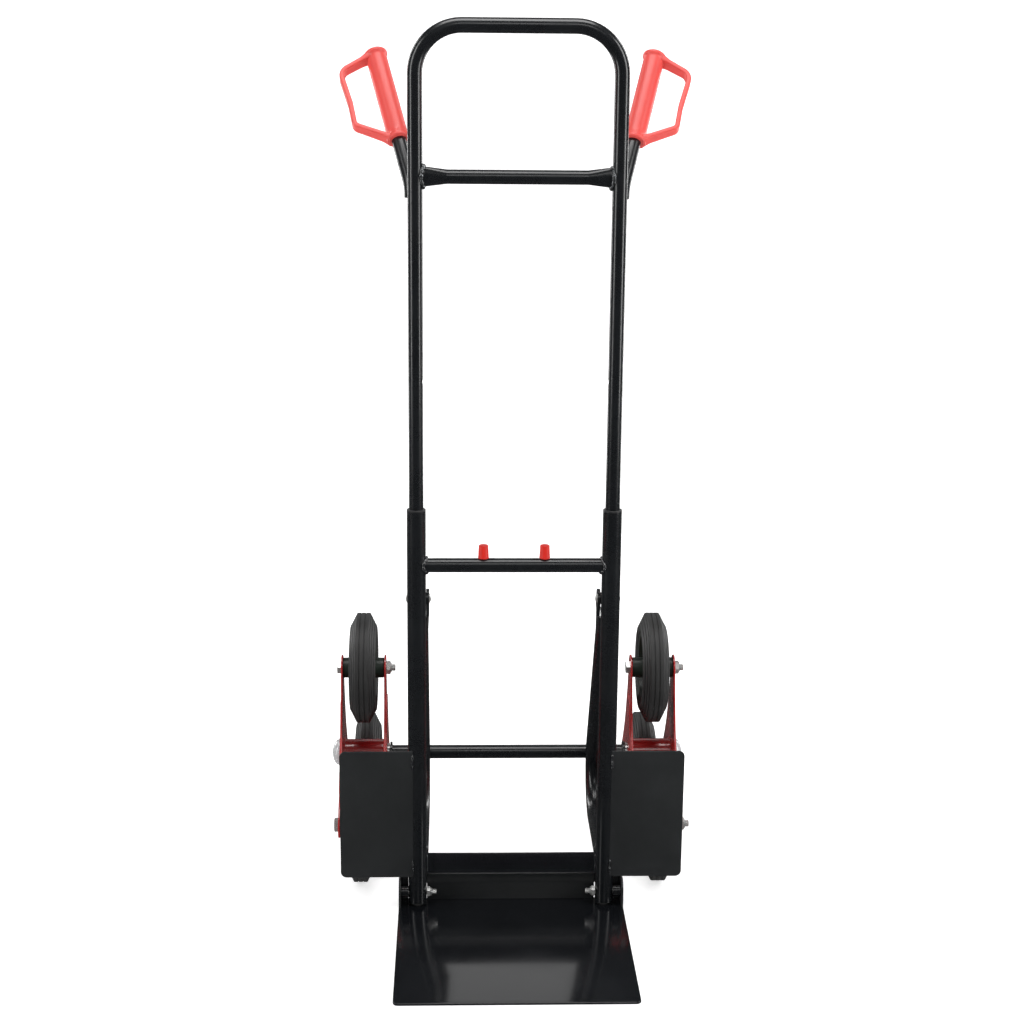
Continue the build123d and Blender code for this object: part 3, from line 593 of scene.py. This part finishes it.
def arc_round(centre, radius, start, end, steps):
    """Points on an arc from one direction to another."""
    return [centre + Vector((math.cos(start + (end - start) * k / steps),
                             math.sin(start + (end - start) * k / steps))) * radius for k in range(steps + 1)]


def star_loop(inset=0.0, reach=None):
    """Outline of a star plate round the axle; inset moves it in, reach clips it to a circle."""
    steps = 28
    points = []
    for angle in (90, 210, 330):
        here = polar(star_reach, angle)
        after, before = polar(side_centre, angle + 60), polar(side_centre, angle - 60)
        start = math.atan2(before.y - here.y, before.x - here.x)
        end = math.atan2(after.y - here.y, after.x - here.x)
        end += 2 * math.pi if end < start else 0
        points += arc_round(here, tip_r - inset, start, end, steps)
        following = polar(star_reach, angle + 120)
        start = math.atan2(here.y - after.y, here.x - after.x)
        end = math.atan2(following.y - after.y, following.x - after.x)
        end -= 2 * math.pi if end > start else 0
        points += arc_round(after, side_r + inset, start, end, steps)[1:-1]
    if reach:
        points = [p if p.length <= reach else p.normalized() * reach for p in points]
    kept = []
    for p in points:
        if not kept or (p - kept[-1]).length > 0.4 * MM:
            kept.append(p)
    return [tuple(p) for p in kept]


STAR_SHEET, PRESSING = 2.5 * MM, 1.3 * MM
BOLT_HOLE_R = 5.1 * MM
WHEEL_HEX = 17 * MM
BOLT_HEAD = 6.4 * MM
BOLT_TURNS = {"upper": 11, "front": 37, "rear": 23}        # degrees, as tightened
NUT_TURN = 19                                              # degrees past the head


def spun(part, degrees):
    """The same (points, faces) turned about the X axis."""
    spin = Matrix.Rotation(math.radians(degrees), 3, "X")
    return [tuple(spin @ Vector(v)) for v in part[0]], part[1]


for side, sx in SIDES.items():
    star = f"{side}_star"
    hub_low, hub_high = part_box(f"{side}_star_hub_tube")
    weld_r = (hub_high.z - hub_low.z) / 2 + 0.5 * MM
    for which in ("inner", "outer"):
        name = f"{side}_star_{which}_plate"
        low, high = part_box(name)
        way = sx if which == "outer" else -sx
        far_face = high.x if way > 0 else low.x            # the pressed face, away from the wheels
        plate_mid = far_face - way * (PRESSING + STAR_SHEET / 2)
        holes = [ring_loop(0, 0, axle_r + 0.4 * MM)]
        for arm in ARMS:
            c = middle(f"{side}_{arm}_tyre")
            holes.append(ring_loop(c.y - axle.y, c.z - axle.z, BOLT_HOLE_R, 24))
        outline_plate(f"{name}_shape", [star_loop()] + holes, STAR_SHEET, 0.5 * MM, red, star, "red_paint",
                      facing_x(plate_mid, axle.y, axle.z), (name,))
        outline_plate(f"{name}_pressing", [star_loop(9 * MM, 86 * MM), holes[0]], 2 * PRESSING, 0.95 * MM,
                      red, star, "red_paint", facing_x(far_face - way * PRESSING, axle.y, axle.z))
        # the weld that holds the hub tube
        weld_x = far_face - way * (PRESSING + STAR_SHEET) - way * 0.5 * MM
        loop = [(weld_x, *point) for point in ring_loop(axle.y, axle.z, weld_r, 60)]
        verts, faces = bead(loop, 1.5 * MM, name, closed=True)
        make(f"{name}_weld", verts, faces, red, star, "red_paint", sharp=60)

    # wheel bolts, lock nuts and their threaded ends
    bolts_low, bolts_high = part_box(f"{side}_wheel_bolts")
    nuts_low, nuts_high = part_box(f"{side}_wheel_nuts")
    seat = bolts_low.x + BOLT_HEAD
    shank_end = nuts_low.x - 1 * MM
    nut_x = nuts_low.x
    all_bolts, all_nuts, all_rings = [], [], []
    for arm in ARMS:
        c = middle(f"{side}_{arm}_tyre")
        turn = BOLT_TURNS[arm]
        head = spun(solid_of(hexagon(seat, BOLT_HEAD - 0.4 * MM, WHEEL_HEX, -1)), turn)
        face_ring = disc(seat, seat - 0.6 * MM, 8.6 * MM, 0.2 * MM)
        shank = disc(seat, shank_end, 4.95 * MM, 0.1 * MM, around=32)
        screw = threaded(shank_end, bolts_high.x, 5.0 * MM)
        all_bolts.append(shift(join(head, face_ring, shank, screw), c.y, c.z))
        body = spun(solid_of(hexagon(nut_x + 1.0 * MM, 5.6 * MM, WHEEL_HEX, 1, chamfer_both=True)),
                    turn + NUT_TURN)
        flange = disc(nut_x, nut_x + 1.3 * MM, 9.6 * MM, 0.4 * MM)
        collar = disc(nut_x + 6.4 * MM, nuts_high.x, 7.2 * MM, 0.7 * MM, bore=5.4 * MM)
        all_nuts.append(shift(join(body, flange, collar), c.y, c.z))
        insert = disc(nut_x + 6.0 * MM, nuts_high.x - 0.5 * MM, 5.6 * MM, 0.1 * MM, bore=4.8 * MM)
        all_rings.append(shift(insert, c.y, c.z))
    verts, faces = join(*all_bolts)
    make(f"{side}_wheel_bolts_shape", verts, faces, zinc, star, "zinc", (f"{side}_wheel_bolts",))
    verts, faces = join(*all_nuts)
    make(f"{side}_wheel_nuts_shape", verts, faces, zinc, star, "zinc", (f"{side}_wheel_nuts",))
    verts, faces = join(*all_rings)
    make(f"{side}_wheel_nut_inserts", verts, faces, nylon, star, "black_plastic")

    # domed chrome cap on the axle's end
    low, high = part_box("axle_caps")
    end_x = high.x if sx > 0 else low.x
    foot_x = sx * (abs(end_x) - 11 * MM)
    rim_x, dome_r, dome_rise = 2.2, 18.4, 8.8
    dome = [(0.0, 11.0), (0.0, 19.4), (0.4, 20.0), (1.5, 20.0), (2.0, 19.4), (rim_x, dome_r)]
    for k in range(1, 15):
        a = math.radians(90 * k / 14)
        dome.append((rim_x + dome_rise * math.sin(a), dome_r * math.cos(a)))
    dome = [(foot_x + sx * x * MM, max(r, 0.001) * MM) for x, r in dome]
    verts, faces = lathe(dome, closed=False)
    make(f"{side}_axle_cap_shape", *shift((verts, faces), axle.y, axle.z), chrome, "frame", "chrome",
         ("axle_caps",) if sx > 0 else (), sharp=50)


# ------------------------------------------------------------------ hand grips
# the grip tube stands up behind its leg, bends, and leans back and out
grip_along = Vector((50.0, 118.0, 164.0)).normalized()
grip_base = 70 * MM
grip_foot = Vector((tube_x + 4.4 * MM, tube_y + 18.1 * MM, 968 * MM))
grip_bend_z = 982 * MM


def grip_frame(sx):
    """Axes at the foot of a grip: x out to the hand guard, z along the grip."""
    along = Vector((sx * grip_along.x, grip_along.y, grip_along.z))
    out = (Vector((sx, 0, 0)) - along * (along.x * sx)).normalized()
    bend = Vector((sx * grip_foot.x, grip_foot.y, grip_bend_z))
    foot = bend + along * grip_base
    third = along.cross(out)
    m = Matrix((out, third, along)).transposed().to_4x4()
    m.translation = foot
    return m


GRIP_AROUND = 80
GRIP_BORE_R, GRIP_BORE_DEPTH = 9.7, 12   # the mouth that takes the end of the tube, in millimetres
BARREL_R, BARREL_FROM, BARREL_LENGTH = 13.45, 8.0, 119.0
STRAP_STEP = 1.6
FLARE_REACH, WAIST_REACH = 13.0, 40.0    # how far from its ends the strap widens and narrows


def grip_body():
    """The turned part of a grip along Z: flange, barrel, collar and cap. Profile in millimetres."""
    body = [(0.0, GRIP_BORE_R), (0.0, 14.6), (0.7, 15.4), (1.6, 15.6), (3.2, 15.5), (4.0, 14.9), (4.5, 14.3),
            (6.6, 14.2), (7.4, 13.9), (BARREL_FROM, BARREL_R)]
    body += [(BARREL_FROM + BARREL_LENGTH * k / 16, BARREL_R + 0.1 * math.sin(math.pi * k / 16))
             for k in range(1, 17)]
    body += [(128.5, 13.5), (130.2, 13.9), (131.4, 14.9), (132.4, 15.4), (134.0, 15.5), (135.4, 15.1),
             (136.4, 14.2), (137.2, 11.5), (137.8, 7.0), (138.0, 0.02)]
    verts = [point for z, r in body for point in z_ring(0, 0, z * MM, r * MM, GRIP_AROUND)]
    faces = grid_faces(len(body), GRIP_AROUND)
    base = len(verts)
    verts += z_ring(0, 0, GRIP_BORE_DEPTH * MM, GRIP_BORE_R * MM, GRIP_AROUND)
    for j in range(GRIP_AROUND):
        k = (j + 1) % GRIP_AROUND
        faces.append([j, base + j, base + k, k])
    faces.append([base + j for j in range(GRIP_AROUND)])
    return verts, faces


def grip_strap():
    """Hand guard: a wide strap from the foot of the grip out and round to its top. Line in millimetres."""
    line = rounded([(9.0, 3.6), (50.0, 32.5, 8), (48.4, 66.0, 60), (51.0, 116.0, 14), (9.0, 131.0)], 9.5, 8,
                   closed=False)
    dense = []
    for a, b in zip(line, line[1:]):
        count = max(1, int(math.dist(a, b) / STRAP_STEP))
        dense += [(a[0] + (b[0] - a[0]) * k / count, a[1] + (b[1] - a[1]) * k / count) for k in range(count)]
    dense.append(line[-1])
    path = [(x * MM, 0.0, z * MM) for x, z in dense]
    total = sum(math.dist(a, b) for a, b in zip(dense, dense[1:]))
    walked, scales = 0.0, []
    for i in range(len(dense)):
        if i:
            walked += math.dist(dense[i], dense[i - 1])
        near = min(walked, total - walked)
        flare = max(0.0, 1 - near / FLARE_REACH)
        waist_share = min(1.0, near / WAIST_REACH)
        scales.append((1.0 + 0.75 * flare ** 1.6, 1.0 + 0.12 * flare - 0.16 * waist_share))
    half_thick, half_wide = 3.1, 9.0
    section = rounded([(-half_thick, -half_wide), (half_thick, -half_wide), (half_thick, half_wide),
                       (-half_thick, half_wide)], 1.8, 6)
    return sweep(path, [(x * MM, y * MM) for x, y in section], scales=scales, up=(0, 1, 0))


for side, sx in SIDES.items():
    verts, faces = join(grip_body(), grip_strap())
    make(f"{side}_grip_shape", verts, faces, coral, "handle", "grip_coral", (f"{side}_grip",), grip_frame(sx),
         sharp=38)


# ------------------------------------------------------------------ plates with softened edges
sheet = 3 * MM
foot_z = 0.6 * MM                        # where the upturned edges of the toe plate begin
low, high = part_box("toe_plate")
toe_loop = rounded([(low.x, low.y, 7 * MM), (high.x, low.y, 7 * MM), (high.x, high.y, 0.5 * MM),
                    (low.x, high.y, 0.5 * MM)], 7 * MM, 8)
outline_plate("toe_plate_deck", [toe_loop], sheet, 0.8 * MM, black_deck, "toe_plate", "black_paint",
              Matrix.Translation((0, 0, sheet / 2)), ("toe_plate",))
# the flange stops short of the side tubes, and above the hinge it passes behind them
pivot_z = middle("toe_pivot_bolts").z
flange_half, lapped_half = 116.3 * MM, 118.2 * MM
lap_z = pivot_z + 6.5 * MM
flange = [(-flange_half, foot_z), (flange_half, foot_z), (flange_half, lap_z), (lapped_half, lap_z),
          (lapped_half, high.z), (-lapped_half, high.z), (-lapped_half, lap_z), (-flange_half, lap_z)]
outline_plate("toe_plate_flange", [rounded(flange, 0.5 * MM, 4)], sheet, 0.8 * MM, black_plate, "toe_plate",
              "black_paint", facing_y(high.y - sheet / 2))
# outside each side tube a short corner flange meets an ear that turns on the hinge bolt
ear_r = 15.8 * MM
ear_top = 40 * MM
for side, sx in SIDES.items():
    corner_in, corner_out = sx * 142.1 * MM, sx * (high.x - 0.4 * MM)
    corner = rounded([(corner_in, foot_z), (corner_out, foot_z), (corner_out, ear_top), (corner_in, ear_top)],
                     0.5 * MM, 4)
    outline_plate(f"toe_plate_{side}_corner", [corner], sheet, 0.8 * MM, black_plate, "toe_plate",
                  "black_paint", facing_y(high.y - sheet / 2))
    ear = [(tube_y - ear_r, foot_z)]
    ear += [(tube_y - ear_r * math.cos(math.radians(a)), ear_top - ear_r + ear_r * math.sin(math.radians(a)))
            for a in range(0, 181, 6)]
    ear += [(tube_y + ear_r, foot_z)]
    outline_plate(f"toe_plate_{side}_ear", [ear, ring_loop(tube_y, pivot_z, 7.0 * MM, 48)], sheet, 0.7 * MM,
                  black_plate, "toe_plate", "black_paint", facing_x(sx * (high.x - sheet / 2), 0, 0))

low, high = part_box("lower_cross_plate")
strip_half = 117.5 * MM
strip_z = low.z - 1.4 * MM               # down over the gap above the toe plate's flange
strip = rounded([(-strip_half, strip_z), (strip_half, strip_z), (strip_half, high.z), (-strip_half, high.z)],
                0.4 * MM, 2)
# painted shade: the cross plate takes the darker deck black to stand in for the shade it sits in
outline_plate("cross_plate_shape", [strip], sheet, 0.7 * MM, black_deck, "frame", "black_paint",
              facing_y(tube_y), ("lower_cross_plate",))

for side, sx in SIDES.items():
    low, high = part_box(f"{side}_wheel_guard")
    inner, outer = (low.x, high.x) if sx > 0 else (high.x, low.x)
    welded_r, corner_r = 0.4 * MM, 8 * MM
    loop = [(inner, low.z, welded_r), (outer, low.z, corner_r), (outer, high.z, corner_r),
            (inner, high.z, welded_r)]
    outline_plate(f"{side}_guard_shape", [rounded(loop, corner_r, 8)], 2 * MM, 0.6 * MM, black_plate, "frame",
                  "black_paint", facing_y((low.y + high.y) / 2), (f"{side}_wheel_guard",))


# ------------------------------------------------------------------ release knobs and hinge hardware
KNOB_AROUND = 56
HINGE_HEX, SOCKET_HEX = 13 * MM, 4.8 * MM
bolt_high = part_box("toe_pivot_bolts")[1]
nut_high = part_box("toe_pivot_nuts")[1]

for side, sx in SIDES.items():
    low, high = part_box(f"{side}_release_knob")
    c = (low + high) / 2
    foot = release_z + 9.8 * MM          # just above the release crossbar
    top = high.z - foot
    shape = [(-8.8, 3.0), (0.0, 3.0), (0.0, 6.8), (0.35, 7.2), (2.0, 7.2), (2.4, 7.05), (16.8, 6.35),
             (17.5, 6.1), (17.9, 5.6), (18.0, 4.8), (17.9, 3.6), (17.2, 2.7), (17.0, 1.4), (17.0, 0.02)]
    rings = [z_ring(c.x, c.y, foot + min(z * MM, top), r * MM, KNOB_AROUND) for z, r in shape]
    verts = [point for ring in rings for point in ring]
    make(f"{side}_knob_shape", verts, grid_faces(len(shape), KNOB_AROUND), knob_red, f"{side}_release",
         "red_plastic", (f"{side}_release_knob",), sharp=40)

    # countersunk hinge bolt with a hexagon socket, and its lock nut on the inside of the tube
    head_x, shank_x, screw_end = sx * bolt_high.x, sx * 118 * MM, sx * 103 * MM
    cone = [x_ring(x, r * MM, HEX_AROUND)
            for x, r in ((head_x, 6.7), (head_x - sx * 2.7 * MM, 4.0), (shank_x, 3.95))]
    socket = []
    for x in (head_x - sx * 2.2 * MM, head_x):
        edge = []
        for j in range(HEX_AROUND):
            a = 2 * math.pi * j / HEX_AROUND
            r = hex_radius(a, SOCKET_HEX)
            edge.append((x, r * math.cos(a), r * math.sin(a)))
        socket.append(edge)
    bolt = solid_of(socket + cone)
    screw = threaded(shank_x, screw_end, 4.0 * MM, pitch=1.25 * MM, depth=0.45 * MM)
    make(f"{side}_toe_bolt_shape", *shift(join(bolt, screw), tube_y, pivot_z), zinc, "frame", "zinc",
         ("toe_pivot_bolts",) if sx > 0 else ())
    nut_x = sx * nut_high.x
    nut = solid_of(hexagon(nut_x, 4.6 * MM, HINGE_HEX, -sx, chamfer_both=True))
    collar = disc(nut_x - sx * 4.4 * MM, nut_x - sx * 6.5 * MM, 5.7 * MM, 0.6 * MM, bore=4.5 * MM)
    make(f"{side}_toe_nut_shape", *shift(join(nut, collar), tube_y, pivot_z), zinc, "frame", "zinc",
         ("toe_pivot_nuts",) if sx > 0 else ())
    insert = disc(nut_x - sx * 4.2 * MM, nut_x - sx * 6.1 * MM, 4.6 * MM, 0.1 * MM, bore=3.7 * MM)
    make(f"{side}_toe_nut_insert", *shift(insert, tube_y, pivot_z), nylon, "frame", "black_plastic")


# ------------------------------------------------------------------ welds on the frame and the handle
WELD_AROUND = 72                         # points round a closed weld
STRUT_FOOT_Z = 77 * MM
GUARD_WELDS = (("foot", 50, 62), ("low", 64, 72), ("top", 205, 226))       # name, from and to, millimetres


def weld_line(name, points, radius, body, closed=False, rough=0.22, look=weld):
    """A bead as a piece of its own; its name seeds the ripple."""
    verts, faces = bead(points, radius, name, closed=closed, rough=rough)
    make(name, verts, faces, look, body, "black_paint", sharp=60)


def round_leg(sx, z, half_y, half_z, post_r, gap):
    """Where a bar of elliptical section meets the round of an upright, seen from the middle."""
    points = []
    for k in range(WELD_AROUND):
        a = 2 * math.pi * k / WELD_AROUND
        y = half_y * math.cos(a)
        x = tube_x - math.sqrt(max(0.0, post_r ** 2 - y ** 2))
        points.append((sx * (x - gap), tube_y + y * 1.06, z + half_z * math.sin(a) * 1.03))
    return points


for side, sx in SIDES.items():
    # the handle bar weld carries the painted glints
    weld_line(f"{side}_handle_bar_weld", round_leg(sx, bar_z, 6.6 * MM, 12.6 * MM, leg_r, 1.2 * MM), 2.7 * MM,
              "handle", closed=True, rough=0.36, look=painted_glint_weld)
    weld_line(f"{side}_release_bar_weld", round_leg(sx, release_z, 9.4 * MM, 9.5 * MM, sleeve_r, 1.0 * MM),
              2.3 * MM, "frame", closed=True, rough=0.3)
    low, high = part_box("lower_cross_plate")
    for way, label in ((-1, "front"), (1, "back")):
        y = way * 1.9 * MM
        x = sx * (tube_x - math.sqrt(sleeve_r ** 2 - y ** 2) - 0.5 * MM)
        weld_line(f"{side}_cross_plate_weld_{label}",
                  [(x, tube_y + y, low.z + 2 * MM), (x, tube_y + y, high.z - 2 * MM)], 1.5 * MM, "frame")
    # guard to side tube: two short runs at the foot and one at the top
    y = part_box(f"{side}_wheel_guard")[0].y
    x = sx * (tube_x + math.sqrt(sleeve_r ** 2 - (tube_y - y) ** 2) + 0.9 * MM)
    for label, z0, z1 in GUARD_WELDS:
        weld_line(f"{side}_guard_weld_{label}", [(x, y - 0.2 * MM, z0 * MM), (x, y - 0.2 * MM, z1 * MM)],
                  1.6 * MM, "frame")
    # rear strut: round its foot, and along the axle behind it
    foot = []
    for k in range(WELD_AROUND):
        a = 2 * math.pi * k / WELD_AROUND
        dx = -2.5 * MM + 12.6 * MM * math.cos(a)
        dx = max(-12.4 * MM, min(12.4 * MM, dx))
        foot.append((sx * (tube_x + dx), tube_y + math.sqrt(sleeve_r ** 2 - dx ** 2) + 0.7 * MM,
                     STRUT_FOOT_Z + 12.8 * MM * math.sin(a)))
    weld_line(f"{side}_strut_foot_weld", foot, 1.5 * MM, "frame", closed=True)
    for label, lift in (("over", 5.2 * MM), ("under", -5.2 * MM)):
        y = axle.y - math.sqrt(axle_r ** 2 - lift ** 2) - 0.4 * MM
        ends = [(sx * x, y, axle.z + lift) for x in (119.5 * MM, 133.5 * MM)]
        weld_line(f"{side}_axle_weld_{label}", ends, 1.8 * MM, "frame")
    # grip tube to handle leg: down one groove, under the foot and up the other
    outer, inner = (7.5 * MM, 7.8 * MM), (-3.1 * MM, 10.3 * MM)
    route = [(outer, grip_bend_z), (outer, grip_foot.z), (inner, grip_foot.z), (inner, grip_bend_z)]
    route = [(sx * (tube_x + x), tube_y + y, z) for (x, y), z in route]
    weld_line(f"{side}_grip_weld", route, 2.0 * MM, "handle")


# ------------------------------------------------------------------ floor, lights and camera
def softbox(name, size, power, place, aim):
    """White area light that faces a point."""
    data = bpy.data.lights.new(name, "AREA")
    data.shape = "RECTANGLE"
    data.size, data.size_y = size
    data.energy = power
    lamp = bpy.data.objects.new(name, data)
    bpy.context.scene.collection.objects.link(lamp)
    lamp.location = place
    lamp.rotation_mode = "QUATERNION"
    lamp.rotation_quaternion = (Vector(aim) - Vector(place)).to_track_quat("-Z", "Y")
    return lamp


pale = bpy.data.materials.new("pale_floor")
pale.use_nodes = True
coat = pale.node_tree.nodes["Principled BSDF"]
coat.inputs["Base Color"].default_value = (0.86, 0.86, 0.86, 1)
coat.inputs["Roughness"].default_value = 0.7
coat.inputs["Specular IOR Level"].default_value = 0.2
coat.inputs["Emission Color"].default_value = (1, 1, 1, 1)
coat.inputs["Emission Strength"].default_value = 0.62

# floor that curves up into a back wall
front_y, bend_y, bend_r, wall_top, half_width = -3.4, 1.6, 1.4, 4.6, 4.5
profile = [(front_y, 0.0), (bend_y, 0.0)]
profile += [(bend_y + bend_r * math.sin(math.radians(a)), bend_r - bend_r * math.cos(math.radians(a)))
            for a in range(10, 91, 10)]
profile += [(bend_y + bend_r, wall_top)]
verts = [(x, y, z) for y, z in profile for x in (-half_width, half_width)]
faces = [[2 * i, 2 * i + 1, 2 * i + 3, 2 * i + 2] for i in range(len(profile) - 1)]
sweep_mesh = bpy.data.meshes.new("studio_sweep")
sweep_mesh.from_pydata(verts, [], faces)
for p in sweep_mesh.polygons:
    p.use_smooth = True
sweep_mesh.materials.append(pale)
studio = bpy.data.objects.new("studio_sweep", sweep_mesh)
bpy.context.scene.collection.objects.link(studio)
studio.visible_glossy = False

softbox("left_box", (0.5, 2.2), 20, (-1.9, -0.9, 1.3), (0, 0, 0.6))
softbox("right_box", (0.5, 2.2), 27, (1.9, -0.8, 1.3), (0, 0, 0.6))
softbox("left_edge", (0.35, 2.2), 16, (-1.5, 1.5, 1.1), (0, 0, 0.6))
softbox("right_edge", (0.35, 2.2), 16, (1.5, 1.5, 1.1), (0, 0, 0.6))
softbox("top_box", (1.6, 1.0), 30, (0.0, -0.2, 2.8), (0, 0.1, 0.4))
# shows as the soft rectangle on the toe plate
softbox("back_box", (0.80, 1.08), 1.55, (0.064, 1.9, 1.42), (0.0, -0.3, 0.0))
softbox("front_fill", (1.2, 0.8), 9, (0.3, -3.0, 2.6), (0, 0, 0.5))
# low light for the frame and wheels, kept out of the reflections on the legs
low_fill = softbox("low_fill", (1.6, 0.5), 7, (0.2, -2.7, 0.40), (0, 0, 0.30))
low_fill.visible_glossy = False

world = bpy.data.worlds.new("studio")
world.use_nodes = True
world.node_tree.nodes["Background"].inputs["Color"].default_value = (1, 1, 1, 1)
world.node_tree.nodes["Background"].inputs["Strength"].default_value = 0.06
bpy.context.scene.world = world
bpy.context.scene.view_settings.view_transform = "Standard"

# the photograph's viewing angle
cam_data = bpy.data.cameras.new("camera")
cam_data.sensor_width = 36
cam_data.lens = 63.78
cam_data.clip_start, cam_data.clip_end = 0.05, 40
camera = bpy.data.objects.new("camera", cam_data)
bpy.context.scene.collection.objects.link(camera)
bpy.context.scene.camera = camera
pitch, yaw, roll = math.radians(14.1), math.radians(1.88), math.radians(0.53)
ahead = Vector((math.sin(yaw) * math.cos(pitch), math.cos(yaw) * math.cos(pitch), -math.sin(pitch)))
right = Vector((math.cos(yaw), -math.sin(yaw), 0))
up = right.cross(ahead)
right_rolled = right * math.cos(roll) + up * math.sin(roll)
up_rolled = up * math.cos(roll) - right * math.sin(roll)
pose = Matrix((right_rolled, up_rolled, -ahead)).transposed().to_4x4()
pose.translation = (-0.07914, tube_y - 2.30974, 1.14257)
camera.matrix_world = pose
